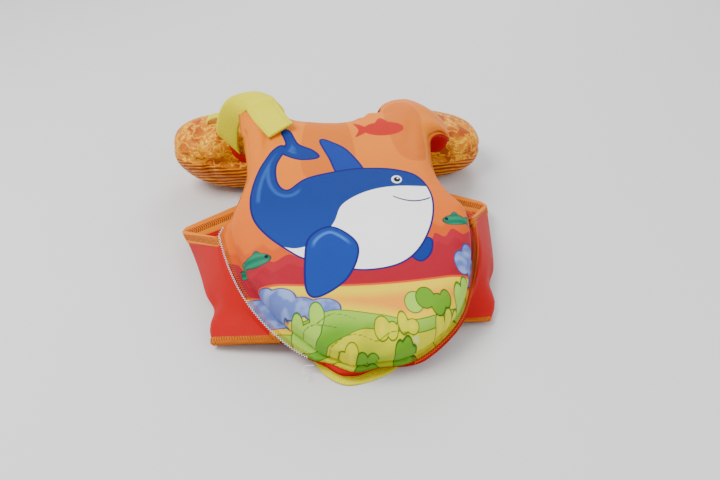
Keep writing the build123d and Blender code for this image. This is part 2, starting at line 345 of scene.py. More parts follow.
def store(obj, name, values):
    """Keeps three values with each point of a mesh, for its material to read."""
    layer = obj.data.attributes.new(name, "FLOAT_VECTOR", "POINT")
    layer.data.foreach_set("vector", np.ascontiguousarray(values).ravel())


def grid_faces(rows, columns, closed=True):
    """The faces of a grid of points kept row by row; closed joins each row's last point to its first."""
    return [(i * columns + j, i * columns + (j + 1) % columns,
             (i + 1) * columns + (j + 1) % columns, (i + 1) * columns + j)
            for i in range(rows - 1) for j in range(columns if closed else columns - 1)]


def layered(name, upper, lower, faces, rim):
    """A closed form of two matching layers of points, in millimetres, joined along the rim's edges."""
    count = len(upper)
    under = [tuple(i + count for i in reversed(face)) for face in faces]
    walls = [(b, a, a + count, b + count) for a, b in rim]
    obj = mesh_object(name, np.vstack([upper, lower]) * MM, list(faces) + under + walls)
    recalculate(obj)
    return obj


def band(name, left, right, thickness, edge=0.35, columns=9):
    """A closed strip of even thickness between two edge lines, in millimetres, with rounded corners."""
    left, right, thickness = left * MM, right * MM, thickness * MM
    middle = (left + right) / 2
    along = unit(np.gradient(middle, axis=0))
    across = unit(right - left)
    normal = unit(np.cross(along, across))
    width = np.linalg.norm(right - left, axis=1)
    length = length_along(middle)
    steps = np.linspace(-1, 1, columns)
    thin = np.maximum(np.sqrt(np.clip(1 - np.abs(steps) ** 8, 0, 1)), edge)
    ring = [(a, t) for a, t in zip(steps, thin)] + [(a, -t) for a, t in zip(steps[::-1], thin[::-1])]
    points, values = [], []
    for k in range(len(middle)):
        for a, t in ring:
            points.append(middle[k] + across[k] * a * width[k] / 2 + normal[k] * t * thickness / 2)
            values.append((length[k], a * width[k] / 2, 0))
    n = len(ring)
    faces = grid_faces(len(middle), n)
    for base in (0, (len(middle) - 1) * n):
        for j in range(columns - 1):
            faces.append((base + j, base + j + 1, base + n - 2 - j, base + n - 1 - j))
    obj = mesh_object(name, points, faces)
    store(obj, "band", values)
    recalculate(obj, merge=False)
    return obj


def across_joint(name, before, after, towards):
    """How soft pieces cross a hinge: its two bodies, and where the bend starts and ends, in metres before
    and after the pivot on the way towards the moving side."""
    joint = next(j for j in frame["joints"] if j["name"] == name)
    pivot, axis, away = Vector(joint["pos_m"]), Vector(joint["axis"]).normalized(), Vector(towards)
    away = (away - away.dot(axis) * axis).normalized()
    return joint["parent"], joint["child"], tuple(pivot - away * before), tuple(pivot + away * after)


def coat(obj, material):
    obj.data.materials.clear()
    obj.data.materials.append(material)


def follow(obj, motion):
    """Makes a piece ride on a body; a piece that crosses from one body to another only gets its place baked
    into its mesh.
    """
    if isinstance(motion, str):
        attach(obj, motion)
    else:
        parent, child, start, end = motion
        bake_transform(obj)
        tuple(start)
        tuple(end)


def dress(obj, material, motion, slot, *nodes):
    """Finishes a piece: its material, its motion and the CAD nodes it stands for, which it hides; slot is not
    used.
    """
    coat(obj, material)
    follow(obj, motion)
    if nodes:
        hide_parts(*nodes)


def thread(name, points, radius, material, motion):
    """A sewing thread: a thin round line through points, in millimetres, made a mesh where it bends."""
    data = bpy.data.curves.new(name, "CURVE")
    data.dimensions = "3D"
    data.bevel_depth = radius * MM
    data.bevel_resolution = data.resolution_u = 1
    path = data.splines.new("POLY")
    path.points.add(len(points) - 1)
    path.points.foreach_set("co", np.column_stack([points * MM, np.ones(len(points))]).ravel())
    obj = add_object(name, data)
    if not isinstance(motion, str):
        graph = bpy.context.evaluated_depsgraph_get()
        mesh = bpy.data.meshes.new_from_object(obj.evaluated_get(graph))
        bpy.data.objects.remove(obj)
        bpy.data.curves.remove(data)
        soften(mesh)
        obj = add_object(name, mesh)
    coat(obj, material)
    follow(obj, motion)


# ---- the chest float's own coordinates
# u runs across, s runs from the hem up the front and over the shoulders, h stands off the back.
HEM_POINT = np.array((0, -229, 7.0))
TILT = math.radians(19.5)
ALONG = np.array((0, math.cos(TILT), math.sin(TILT)))
UP = np.array((0, -math.sin(TILT), math.cos(TILT)))
SHOULDER = 345.0
ARM_END = 413.0
ARCH_RADIUS, ARCH_HEIGHT, ARCH_CENTRE = 49.0, 9.8, (109.3, 85.2)
ARCH_START = math.radians(109.5)


def chest_point(flat):
    """Places rows of (u, s, h) in the frame, in millimetres."""
    u, s, h = (np.asarray(flat, float)[:, k] for k in range(3))
    on_plane = HEM_POINT + np.outer(s, ALONG) + np.outer(h, UP)
    turn = ARCH_START - np.maximum(s - SHOULDER, 0) / ARCH_RADIUS
    radius = ARCH_RADIUS + h - ARCH_HEIGHT
    on_arch = np.column_stack([0 * u, ARCH_CENTRE[0] + radius * np.cos(turn),
                               ARCH_CENTRE[1] + radius * np.sin(turn)])
    points = np.where((s > SHOULDER)[:, None], on_arch, on_plane)
    points[:, 0] = u
    return points


def chest_flat(points):
    """The (u, s, h) of points in the frame, in millimetres."""
    y, z = points[:, 1] - HEM_POINT[1], points[:, 2] - HEM_POINT[2]
    s, h = y * ALONG[1] + z * ALONG[2], y * UP[1] + z * UP[2]
    dy, dz = points[:, 1] - ARCH_CENTRE[0], points[:, 2] - ARCH_CENTRE[1]
    turn = ARCH_START - np.arctan2(dz, dy)
    bent = s > SHOULDER
    s = np.where(bent, SHOULDER + ARCH_RADIUS * turn, s)
    h = np.where(bent, np.hypot(dy, dz) - ARCH_RADIUS + ARCH_HEIGHT, h)
    return np.column_stack([points[:, 0], s, h])


def arc(centre, radius, start, end, count):
    angles = np.radians(np.linspace(start, end, count))
    return np.column_stack([centre[0] + radius * np.cos(angles), centre[1] + radius * np.sin(angles)])


def chest_outline():
    """The right half of the float's edge, from the middle of the hem to the middle of the neck."""
    hem = arc((0, 70), 70, -90, -60, 12)
    belly = arc((-75.4, 200.6), 220.8, -59, -3.3, 60)
    armhole = curve_through([(145, 188), (128, 218), (116, 254), (114, 280), (118, 315), (123, 345)], 40)
    arm = curve_through([(123, 350), (124, 365), (123.5, 395), (122, 408), (112, 413), (97, 413.5),
                         (82, 413), (72, 408), (70.5, 395), (70.5, 380)], 60)
    neck = curve_through([(69, 368), (62, 354), (50, 344), (32, 337.5), (15, 334), (0, 333)], 30)
    return np.vstack([hem, belly, armhole[1:], arm, neck])


def mirrored(half):
    """The whole closed edge from its right half, whose first and last points lie on the middle line."""
    return np.vstack([half, half[-2:0:-1] * (-1, 1)])


def resample(line, spacing, closed=False):
    line = np.vstack([line, line[:1]]) if closed else line
    along = length_along(line)
    made = sample(line, along, np.linspace(0, along[-1], max(2, int(round(along[-1] / spacing)) + 1)))
    return made[:-1] if closed else made


def edge_distance(points, outline):
    """Signed distance from points to a closed outline, positive inside."""
    a, b = outline, np.roll(outline, -1, axis=0)
    best = np.full(len(points), 1e9)
    crossings = np.zeros(len(points), int)
    for p, q in zip(a, b):
        d = q - p
        t = np.clip(((points - p) @ d) / max(d @ d, 1e-12), 0, 1)
        best = np.minimum(best, np.linalg.norm(points - p - t[:, None] * d, axis=1))
        if p[1] != q[1]:
            across = p[0] + (points[:, 1] - p[1]) * d[0] / (q[1] - p[1])
            crossings += ((p[1] > points[:, 1]) != (q[1] > points[:, 1])) & (points[:, 0] < across)
    return np.where(crossings % 2 == 1, best, -best)


def offset_outline(outline, amount):
    """The closed outline moved outwards, or inwards for a negative amount."""
    along = unit(np.roll(outline, -1, axis=0) - np.roll(outline, 1, axis=0))
    return outline + amount * np.column_stack([along[:, 1], -along[:, 0]])


def triangulate(outline, spacing):
    """Fills a closed outline with a grid of triangles that meet its edge exactly."""
    low, high = outline.min(0), outline.max(0)
    xs, ys = (np.arange(low[k] + spacing / 2, high[k], spacing) for k in (0, 1))
    grid = np.array([(x, y) for y in ys for x in xs])
    grid = grid[edge_distance(grid, outline) > 0.6 * spacing]
    points = np.vstack([outline, grid])
    edges = [(k, (k + 1) % len(outline)) for k in range(len(outline))]
    made = delaunay_2d_cdt([Vector(p) for p in points], edges, [], 1, 1e-6)
    return np.array([tuple(v) for v in made[0]]), made[2]


def lens(name, outline, spacing, level, place):
    """A closed form over an outline: level gives the height at (points, distance inside, upper face)."""
    flat, faces = triangulate(resample(outline, spacing, closed=True), spacing)
    inside = np.maximum(edge_distance(flat, outline), 0)
    upper, lower = (place(np.column_stack([flat, level(flat, inside, up)])) for up in (True, False))
    sides = {(a, b): None for face in faces for a, b in zip(face, list(face[1:]) + [face[0]])}
    return layered(name, upper, lower, faces, [(a, b) for a, b in sides if (b, a) not in sides])


def swell(inside, width, power=2.4):
    """A rounded edge profile: 0 at the edge, 1 from width inwards."""
    reach = np.clip(1 - inside / width, 0, 1)
    return (1 - reach ** power) ** (1 / power)


# ---- the printed picture
# Every shape is drawn in (u, s). A shape's function says how far points lie inside it.
def shape(at, points):
    """A smooth closed outline through a few points."""
    p = np.asarray(points, float)
    return edge_distance(at, spline(np.vstack([p[-1:], p, p[:2]]), 16))


def blobs(at, rows):
    """A union of ellipses."""
    fields = [(1 - np.hypot((at[:, 0] - u) / a, (at[:, 1] - s) / b)) * min(a, b) for u, s, a, b in rows]
    return np.max(fields, axis=0)


def below(at, points):
    """Everything under a line."""
    line = curve_through(points, 200)
    return np.interp(at[:, 0], line[:, 0], line[:, 1]) - at[:, 1]


def fish(at, u, s, size, heading):
    """A plain small fish seen from the side."""
    x, y = (at[:, 0] - u) / size * heading, (at[:, 1] - s) / size
    local = np.column_stack([x, y])
    body = blobs(local, [(0.05, 0, 0.62, 0.3)])
    tail = shape(local, [(-0.42, 0.0), (-0.85, 0.34), (-0.72, 0.0), (-0.85, -0.3)])
    fin = shape(local, [(-0.16, 0.2), (0.0, 0.5), (0.26, 0.2)])
    return np.maximum.reduce([body, tail, fin]) * size


WHALE = [
    (-109, 215), (-107, 186), (-94, 162), (-72, 139), (-56, 127), (-22, 113), (8, 107), (41, 112),
    (65, 131), (84, 165), (90, 200), (80, 228), (57, 241), (28, 246), (-1, 246), (-44, 238),
    (-68, 222), (-80, 234), (-80, 262), (-68, 287), (-73, 292), (-88, 276), (-102, 248)]
FLUKES = [
    (-70, 284), (-64, 296), (-68, 318), (-60, 316), (-52, 294), (-36, 282), (-30, 271), (-50, 270),
    (-66, 278)]
BACK_FIN = [(-7, 240), (-16, 268), (-24, 297), (-12, 293), (6, 276), (20, 240)]
SIDE_FIN = [(-50, 152), (-27, 165), (-5, 147), (-3, 126), (-19, 97), (-47, 80), (-58, 87), (-57, 120)]
FAR_FIN = [(53, 125), (64, 139), (78, 138), (74, 121), (62, 112)]
LEFT_RAY = [(-34, 345), (6, 345), (10, 250), (-48, 244)]
RIGHT_RAY = [(60, 350), (95, 350), (98, 262), (66, 268)]
# Lines that run smoothly from left to right, with the shape below them.
BELLY_LINE = [
    (-112, 168), (-92, 152), (-66, 141), (-40, 150), (-22, 172), (-10, 196), (18, 212), (52, 217),
    (96, 212)]
SAND_LINE = [(u, 86 + 0.0007 * (u - 35) ** 2) for u in range(-150, 151, 25)]
GREEN_HILL = [(-150, 44), (-99, 58), (-63, 55), (-33, 61), (10, 51), (46, 42), (98, 60), (150, 96)]
LIME_HILL = [(-150, 30), (-100, 30), (-65, 24), (-30, 32), (-4, 38), (20, 34), (46, 30), (80, 42), (150, 70)]
REEF_LINE = [
    (-150, 150), (-128, 146), (-118, 128), (-100, 134), (-90, 126), (-74, 134), (-58, 128), (-20, 130),
    (40, 128), (74, 132), (84, 146), (94, 140), (104, 150), (116, 143), (132, 152), (150, 150)]
HILL_STROKES = [
    [(-74, 44), (-60, 50), (-48, 47), (-34, 42)], [(-52, 50), (-38, 57), (-26, 55), (-14, 49)],
    [(-44, 26), (-26, 33), (-8, 31), (4, 27), (18, 33), (32, 31), (44, 26)]]
# Ellipses, as centre and half sizes (u, s, half width, half height).
ROCKS = [
    (-112, 88, 20, 13), (-92, 80, 21, 14), (-68, 70, 15, 10), (-46, 64, 18, 12), (106, 107, 8, 13),
    (117, 112, 9, 18), (128, 116, 9, 12)]
GREEN_LEAVES = [
    (-72, 50, 6, 14), (-52, 58, 7, 14), (-61, 44, 12, 9), (46, 62, 9, 12), (95, 66, 5, 15), (104, 76, 5, 13)]
LIME_LEAVES = [
    (-78, 26, 8, 8), (10, 38, 7, 11), (20, 34, 5, 8), (31, 41, 4.5, 11), (40, 36, 6, 7), (70, 38, 5, 11),
    (80, 42, 4.5, 12), (90, 46, 5, 9), (-34, 16, 8, 6), (-22, 18, 6, 8)]
BUSHES = [
    (-12, 8, 7, 9), (-1, 9, 6, 8), (8, 5, 6, 6), (26, 12, 5, 12), (34, 16, 5, 11), (41, 12, 5, 9),
    (58, 66, 9, 12), (70, 58, 7, 11), (79, 64, 5, 9)]


def strokes(at, lines):
    """Pen strokes of no width along some lines."""
    drawn = [curve_through(line, 60) for line in lines]
    away = [np.min(np.linalg.norm(at[:, None] - line[None], axis=2), axis=1) for line in drawn]
    return -np.min(away, axis=0)


def add_picture(obj):
    """Stores the flat coordinates and how far inside each printed shape a point lies."""
    flat = chest_flat(get_points(obj) / MM)
    at = flat[:, :2]
    whale = np.maximum(shape(at, WHALE), shape(at, FLUKES))
    small_fish = np.maximum(fish(at, -108, 132, 22, 1), fish(at, 112, 162, 22, -1))
    rays = np.maximum(shape(at, LEFT_RAY), shape(at, RIGHT_RAY))
    for name, *fields in (
            ("art_ground", below(at, SAND_LINE), below(at, REEF_LINE), blobs(at, ROCKS)),
            ("art_plants", below(at, GREEN_HILL), below(at, LIME_HILL), blobs(at, GREEN_LEAVES)),
            ("art_whale", whale, below(at, BELLY_LINE), shape(at, SIDE_FIN)),
            ("art_fins", shape(at, BACK_FIN), shape(at, FAR_FIN), blobs(at, LIME_LEAVES)),
            ("art_fish", small_fish, fish(at, 52, 311, 40, 1), rays),
            ("art_bushes", blobs(at, BUSHES), strokes(at, HILL_STROKES), 0 * at[:, 0])):
        store(obj, name, np.column_stack(fields))
    store(obj, "flat", flat)


def knit(s):
    """The fine stitch of a laminated jersey: small bumps in rows, and a slow unevenness."""
    place = s.place()
    x, y, z = s.split(place)
    rows = s.ripple(s.plus(y, z), 0.0011)
    wales = s.ripple(x, 0.0009)
    s.relief(s.times(rows, wales), 0.00012, 0.5)
    s.relief(s.noise(place, 55.0), 0.0009, 0.35)
    return s.noise(place, 14.0, 2.0), s.noise(place, 900.0, 1.0)


def printed_fabric():
    s = Shader("printed_fabric", 0.58, 0.02)
    tone, grain = knit(s)
    u, v, _ = s.read("flat")
    ground, reef, rocks = s.read("art_ground")
    hill, lime, leaves = s.read("art_plants")
    whale, belly, side_fin = s.read("art_whale")
    back_fin, far_fin, lime_leaves = s.read("art_fins")
    small_fish, red_fish, rays = s.read("art_fish")
    bushes, hill_lines, _ = s.read("art_bushes")
    ink = "332C8C"

    def paint(color, field, fill, line=None, width=0.9):
        if line:
            color = s.mix(s.step(field, -width - 0.4, -width + 0.4), color, line)
        return s.mix(s.step(field, -0.4, 0.4), color, fill)

    def disc(color, across, along, radius, fill):
        away = s.math("POWER", s.plus(s.math("POWER", s.minus(u, across), 2.0),
                                      s.math("POWER", s.minus(v, along), 2.0)), 0.5)
        return paint(color, s.minus(radius, away), fill)

    water = s.mix(s.step(v, 120.0, 330.0), "E88C14", "F0A222")
    water = s.mix(s.times(s.step(rays, -1.0, 1.0), 0.45), water, "D27C1A")
    haze = s.times(s.step(s.plus(reef, s.times(tone, 8.0)), -14.0, -6.0), 0.45)
    water = s.mix(haze, water, "D2502C")
    color = paint(water, reef, "C43F55")
    color = paint(color, s.minus(reef, 12.0), "BE3450")
    middle = s.times(s.step(ground, 5.0, 19.0), s.step(hill, -2.0, -15.0))
    sand = s.mix(middle, "F2DC00", "F4B84C")
    color = paint(color, ground, sand, "E87A18", 2.4)
    stone = s.mix(s.step(s.noise(s.join(u, v), 0.07, 1.0), 0.42, 0.62), "8798CC", "AAB8E0")
    color = paint(color, rocks, stone, "55619C", 1.0)
    far = s.mix(s.step(hill, 2.0, 26.0), "B4D462", "8CBC44")
    color = paint(color, hill, far, "5C9038")
    color = paint(color, leaves, "BCDC6C", "5C9038")
    near = s.mix(s.step(lime, 4.0, 36.0), "DEDC10", "94B430")
    color = paint(color, lime, near, "7C9C30")
    bud = s.mix(s.step(lime_leaves, 0.5, 9.0), "DCDC10", "F8E800")
    color = paint(color, lime_leaves, bud, "7C9020")
    stroke = s.times(s.step(hill_lines, -1.1, -0.5), s.step(hill, 2.0, 3.0))
    color = s.mix(s.times(stroke, 0.8), color, "6C9A30")
    color = paint(color, bushes, "8CB83C", "4E7E2C")
    pebbles = s.node("ShaderNodeTexVoronoi", {"Vector": s.join(u, v), "Scale": 0.045}, out=0)
    spots = s.times(s.step(pebbles, 0.16, 0.11), s.step(hill, 3.0, 5.0))
    color = s.mix(s.times(spots, 0.55), color, "DDE9B8")

    color = paint(color, far_fin, "2B57A6", ink, 2.0)
    color = paint(color, back_fin, "2B5CAE", ink, 2.0)
    blue = s.mix(s.step(v, 130.0, 230.0), "2F62AC", "2A5AA2")
    shine = s.times(s.step(whale, 4.0, 7.0), s.step(whale, 11.0, 8.0))
    shine = s.times(shine, s.times(s.step(v, 205.0, 212.0), s.step(u, -52.0, -58.0)))
    blue = s.mix(s.times(shine, 0.4), blue, "5E93D6")
    skin = s.mix(s.step(belly, -0.4, 0.4), blue, "FFFFFF")
    color = paint(color, whale, skin, ink, 2.2)
    bow = s.times(s.math("POWER", s.minus(u, 74.0), 2.0), 0.014)
    mouth = s.minus(s.plus(193.0, bow), v)
    mouth = s.minus(1.0, s.math("ABSOLUTE", mouth))
    mouth = s.math("MINIMUM", mouth, s.math("MINIMUM", s.minus(u, 48.0), s.minus(whale, 1.0)))
    color = paint(color, mouth, ink)
    for eye in ((56.0, 227.0, 6.0, "F1F3F8"), (56.5, 227.0, 3.8, "26303F"), (57.5, 228.5, 1.1, "F1F3F8")):
        color = disc(color, *eye)
    fin = s.mix(s.times(s.times(s.step(side_fin, 3.0, 6.0), s.step(side_fin, 9.0, 7.0)),
                       s.step(v, 138.0, 150.0)), "2F62B0", "5E93D6")
    color = paint(color, side_fin, fin, ink, 2.2)
    scales = s.mix(s.ripple(v, 9.0), "2F8C76", "3BA486")
    color = paint(color, small_fish, scales, "1F6B62", 0.8)
    for eye in ((-97.0, 134.0, 2.0, "20343A"), (101.0, 164.0, 2.0, "20343A")):
        color = disc(color, *eye)
    color = paint(color, red_fish, "D2452E")
    color = s.vary(s.vary(color, grain, 0.86, 1.06), tone, 0.92, 1.04)
    return s.finish(color, s.math("MULTIPLY_ADD", tone, 0.16, 0.50))


def neoprene(name, code, dark):
    s = Shader(name, 0.6, 0.02)
    tone, grain = knit(s)
    color = s.mix(tone, code, dark)
    color = s.vary(color, grain, 0.82, 1.08)
    return s.finish(color, s.math("MULTIPLY_ADD", grain, 0.15, 0.52))


def binding_tape():
    """Knitted edge tape: fine ribs across it, with painted shade between the ribs."""
    s = Shader("binding_tape", 0.78, 0.03)
    along, across, _ = s.read("band")
    slant = s.times(s.math("ABSOLUTE", across), 0.35)
    wave = s.plus(s.plus(along, slant), s.times(s.noise(s.place(), 120.0), 0.0010))
    inner = s.step(s.math("ABSOLUTE", across), 0.0062, 0.0052)
    ribs = s.ripple(wave, 0.0029)
    fine = s.ripple(across, 0.0008)
    rib_height_and_shade = s.minus(1.0, s.times(inner, s.minus(1.0, ribs)))
    s.relief(rib_height_and_shade, 0.0008)
    s.relief(fine, 0.0001, 0.5)
    # painted shade: the colour drops to a dark orange in the grooves between the ribs, where the bump dips
    color = s.mix(rib_height_and_shade, "A85C0C", "F0A224")
    # painted shade: the fine wales across the tape darken it a little more in their grooves
    return s.finish(s.vary(color, fine, 0.9))


def webbing(name, code, dark):
    """Woven tape: thick crosswise ribs broken into columns by the warp, with painted shade where the weave
    dips.
    """
    s = Shader(name, 0.66, 0.02)
    along, across, _ = s.read("band")
    column = s.times(s.math("FLOOR", s.math("DIVIDE", across, 0.0021)), 0.0011)
    ribs = s.ripple(s.plus(along, column), 0.0022)
    warp = s.ripple(across, 0.0021)
    s.relief(ribs, 0.00035, 0.9)
    s.relief(warp, 0.00025, 0.8)
    # painted shade: the colour falls to the darker yellow where the ribs and the warp dip
    color = s.mix(s.times(ribs, warp), dark, code)
    return s.finish(s.vary(color, s.noise(s.place(), 420.0, 2.0), 0.88, 1.1))


def golden_fabric():
    """The collar: sunlit-water blotches above and just below the seam, wavy stripes on the underside."""
    s = Shader("golden_fabric", 0.5, 0.02)
    tone, grain = knit(s)
    place = s.place()
    x, y, z = s.split(place)
    warp = s.node("ShaderNodeTexNoise", {"Vector": place, "Scale": 26.0, "Detail": 2.0}, out=1)
    bent = s.node("ShaderNodeVectorMath", {0: place, 1: s.node(
        "ShaderNodeVectorMath", {0: warp, "Scale": 0.03}, operation="SCALE")}, operation="ADD")
    stretched = s.node("ShaderNodeVectorMath", {0: bent, 1: (1.0, 1.0, 1.7)}, operation="MULTIPLY")
    cloud = s.noise(stretched, 34.0)

    def veins(scale, width):
        """Thin winding lines where a noise crosses its middle value."""
        off = s.math("ABSOLUTE", s.minus(s.noise(stretched, scale, 2.0), 0.5))
        return s.step(off, width, 0.2 * width)

    caustic = s.mix(s.step(cloud, 0.36, 0.56), "C07000", "E09C00")
    caustic = s.mix(veins(60.0, 0.05), caustic, "F0BC00")
    caustic = s.mix(s.times(veins(95.0, 0.035), s.step(cloud, 0.44, 0.58)), caustic, "FFDC10")
    wobble = s.times(s.noise(s.join(s.times(x, 0.5), y, z), 70.0), 0.006)
    level = s.plus(s.math("MULTIPLY_ADD", y, 0.45, z), wobble)
    lines = s.ripple(level, 0.0052)
    broken = s.times(lines, s.noise(s.join(s.times(x, 0.35), y, z), 160.0, 2.0))
    striped = s.mix(s.step(lines, 0.25, 0.75), "A86408", "E8A00C")
    striped = s.mix(s.step(broken, 0.5, 0.62), striped, "FAC81C")
    rise, _, _ = s.read("rise")
    color = s.mix(s.step(rise, -0.0060, -0.0052), striped, caustic)
    color = s.vary(color, grain, 0.85, 1.08)
    return s.finish(color, s.math("MULTIPLY_ADD", tone, 0.2, 0.42))


def sewing_thread(name, code):
    s = Shader(name, 0.55, 0.05)
    twist = s.noise(s.place(), 1800.0, 2.0)
    s.relief(twist, 0.0002, 0.6)
    # painted shade: the thread darkens where its twist dips
    shade = tuple(0.72 * c for c in rgb(code))
    return s.finish(s.mix(twist, shade, code))


def moulded_plastic(name, code):
    s = Shader(name, 0.42)
    s.bsdf.inputs["Specular IOR Level"].default_value = 0.5
    place = s.place()
    grain = s.noise(place, 1400.0)
    smudge = s.noise(place, 60.0, 4.0)
    s.relief(grain, 0.00008, 0.6)
    color = s.mix(s.times(smudge, 0.5), code, "3A3A3E")
    return s.finish(color, s.math("MULTIPLY_ADD", smudge, 0.22, 0.30))


def floor_paint():
    s = Shader("studio_floor", 0.85)
    tone = s.noise(s.place(), 6.0)
    return s.finish(s.mix(s.times(tone, 0.25), (0.72, 0.72, 0.71), (0.66, 0.66, 0.66)))


PRINTED = printed_fabric()
RED = neoprene("red_neoprene", "D81412", "C20E0C")
BINDING = binding_tape()
# the second, darker yellow is painted shade for the dips of the weave
YELLOW = webbing("yellow_webbing", "FAF400", "E2DC00")
GOLDEN = golden_fabric()
WHITE_THREAD = sewing_thread("white_thread", "FFFFFF")
ORANGE_THREAD = sewing_thread("orange_thread", "F0A24C")
YELLOW_THREAD = sewing_thread("yellow_thread", "F2EA58")
PLASTIC = moulded_plastic("moulded_acetal", "161618")


# ---- the chest float
PLATE = 2.2    # how thick the sewn edge is


def plate_low(s):
    """Height of the sewn edge above the back: flat on the chest, half way up the shoulder arches."""
    return 2.6 + 5.4 * smooth(s, 290, 350)


def crown_height(s):
    return np.where(s < SHOULDER, 44 - 24 * s / SHOULDER, 20 - 2.7 * smooth(s, SHOULDER, ARM_END))


def lie(edge):
    """The soft float lies a little askew: waist to the left, shoulders and belly to the right."""
    u, s = edge.T
    shift = -5.5 * hump(s, 225, 50) + 4.0 * smooth(s, 300, 350)
    shift += 3.0 * smooth(u, 100, 120) * smooth(s, 310, 350)
    shift -= 2.4 * smooth(-u, 95, 115) * smooth(s, 318, 340) * (1 - smooth(s, 375, 395))
    shift += 9.0 * smooth(u, 15, 55) * hump(s, 48, 40)
    shift -= 16.0 * smooth(s, 338, 362) * smooth(u, 20, 45) * (1 - smooth(u, 74, 96))
    hem = 1 - smooth(s, 30, 60)
    rise = 6.0 * hump(u, -40, 20) * hem + 10.0 * hump(u, 6, 24) * hem
    rise += 9.0 * np.exp(-(u / 58) ** 4) * smooth(s, 305, 330)
    rise += 11.0 * hump(u, 40, 14) * smooth(s, 325, 340) * (1 - smooth(s, 352, 372))
    return np.column_stack([u + shift, s + rise])


EDGE = lie(mirrored(resample(chest_outline(), 3.0)))


def settle(obj):
    """Lets the right shoulder spread and droop sideways onto the collar, as the empty vest lies."""
    points = get_points(obj) / MM
    s = chest_flat(points)[:, 1]
    x = points[:, 0]
    outer, inner = smooth(s, 302, 346), smooth(s, 345, 368)
    root, limit = 95, 60    # where across the arch the spread starts, and the most it can be
    spread = np.maximum(x - root, 0) * (1 + 1.7 * outer * (1 - 0.9 * smooth(s, 368, 405)))
    spread = limit * np.tanh(spread / limit)
    droop = outer * (0.30 * spread + 0.0070 * spread**2) + inner * 0.010 * np.maximum(88 - x, 0) ** 2
    droop += 10 * smooth(x, root, 118) * smooth(s, 378, 405)
    points[:, 0] = np.where(x > root, root + spread, x)
    points[:, 2] -= np.where(x > 0, droop, 0)
    set_points(obj, points * MM)


def make_chest():
    u, s = EDGE.T
    left, low = smooth(-u, 50, 75), 1 - smooth(s, 190, 215)
    pad_edge = offset_outline(EDGE, -(1.2 + 6.0 * left * low)[:, None])

    def pad_level(at, inside, upper):
        base = plate_low(at[:, 1]) + PLATE
        width = 26 - 13 * smooth(at[:, 1], 200, 350)
        return base + upper * (crown_height(at[:, 1]) - 1.5 - base) * swell(inside, width)

    pad = lens("chest_pad", pad_edge, 4.0, pad_level, chest_point)
    puff(pad, 0.0045, 3.6, 0.004)
    flat = chest_flat(get_points(pad) / MM)
    flat[:, 2] = np.maximum(flat[:, 2], plate_low(flat[:, 1]) + PLATE - 0.4)
    flat[:, 2] += chest_folds(flat)
    set_points(pad, chest_point(flat) * MM)
    add_picture(pad)
    settle(pad)
    dress(pad, PRINTED, "chest", "print", "chest_front_cover", "left_shoulder_cover", "right_shoulder_cover",
          "chest_foam_front", "chest_foam_middle", "chest_foam_back", "left_shoulder_foam",
          "right_shoulder_foam")

    def thin(low, high, inside, upper):
        """One face of a thin layer with a rounded edge."""
        return (low + high) / 2 + (1 if upper else -1) * (high - low) / 2 * swell(inside, 1.2, 2)

    def edge_level(at, inside, upper):
        return thin(plate_low(at[:, 1]), plate_low(at[:, 1]) + PLATE, inside, upper)

    tuck = 2.2 * (1 - smooth(-u, 40, 60) * low)
    edge = lens("front_sewn_edge", offset_outline(EDGE, -tuck[:, None]), 4.5, edge_level, chest_point)
    add_picture(edge)
    settle(edge)
    dress(edge, PRINTED, "chest", "print")

    rim = 2.6 * smooth(u, 34, 52) + 4.0 * hump(u, -34, 13) - 4.0 * smooth(s, 60, 150)
    rim -= 7.0 * smooth(u, 95, 110) * smooth(s, 372, 392)
    rim -= 2.6 * np.exp(-((u - 12) / 20) ** 4) * (1 - smooth(s, 20, 40))

    def back_level(at, inside, upper):
        s = at[:, 1]
        bulge = 0 if upper else 1.5 * smooth(s, 330, 360) * swell(inside, 14)
        return thin(0.2 + 1.3 * smooth(s, 290, 350) - bulge, plate_low(s) - 0.1, inside, upper)

    back = lens("back_cover", offset_outline(EDGE, rim[:, None]), 4.5, back_level, chest_point)
    settle(back)
    dress(back, RED, "chest", "red", "chest_back_cover", "left_shoulder_lining", "right_shoulder_lining")


def chest_folds(flat):
    """Soft dents pressed into the stuffed front: one by the left shoulder, two at the lower left edge."""
    u, s, h = flat.T
    depth = 0 * u
    for a, b, amount, width in FOLDS:
        a, b = np.array(a, float), np.array(b, float)
        d = b - a
        t = np.clip(((u - a[0]) * d[0] + (s - a[1]) * d[1]) / (d @ d), 0, 1)
        away = np.hypot(u - a[0] - t * d[0], s - a[1] - t * d[1])
        depth -= amount * np.exp(-(away / width) ** 2) * np.sin(np.pi * np.clip(t, 0.06, 0.94))
    return depth * smooth(h, 7, 15)


FOLDS = [((-96, 250), (-84, 330), 3.0, 5.0), ((-110, 70), (-84, 92), 2.4, 6.0),
         ((-124, 118), (-100, 124), 1.8, 6.0), ((100, 58), (82, 84), 2.2, 6.0),
         ((78, 270), (90, 330), 1.8, 6.0), ((-40, 20), (-20, 40), 1.2, 8.0)]


def zigzag(name, run, offset, reach, lift, pitch, radius, material, motion):
    """A zigzag stitch along a run, which is a middle line with its across and normal directions."""
    along = length_along(run[0])
    count = max(4, int(along[-1] / pitch))
    middle, across, normal = (sample(rows, along, np.linspace(0, along[-1], count)) for rows in run)
    swing = np.where(np.arange(count) % 2 == 0, 1.0, -1.0)[:, None]
    points = middle + unit(across) * (offset + swing * reach) + unit(normal) * lift
    thread(name, points, radius, material, motion)


def edge_run(start, end, inset, height):
    """The float's edge between two of its points, at some height above the seam."""
    edge = offset_outline(EDGE, -inset)[start:end]
    flat = np.column_stack([edge, plate_low(edge[:, 1]) + height])
    middle = chest_point(flat)
    above = chest_point(flat + (0, 0, 1.0)) - middle
    across = np.cross(np.gradient(middle, axis=0), above)
    return middle, across, above


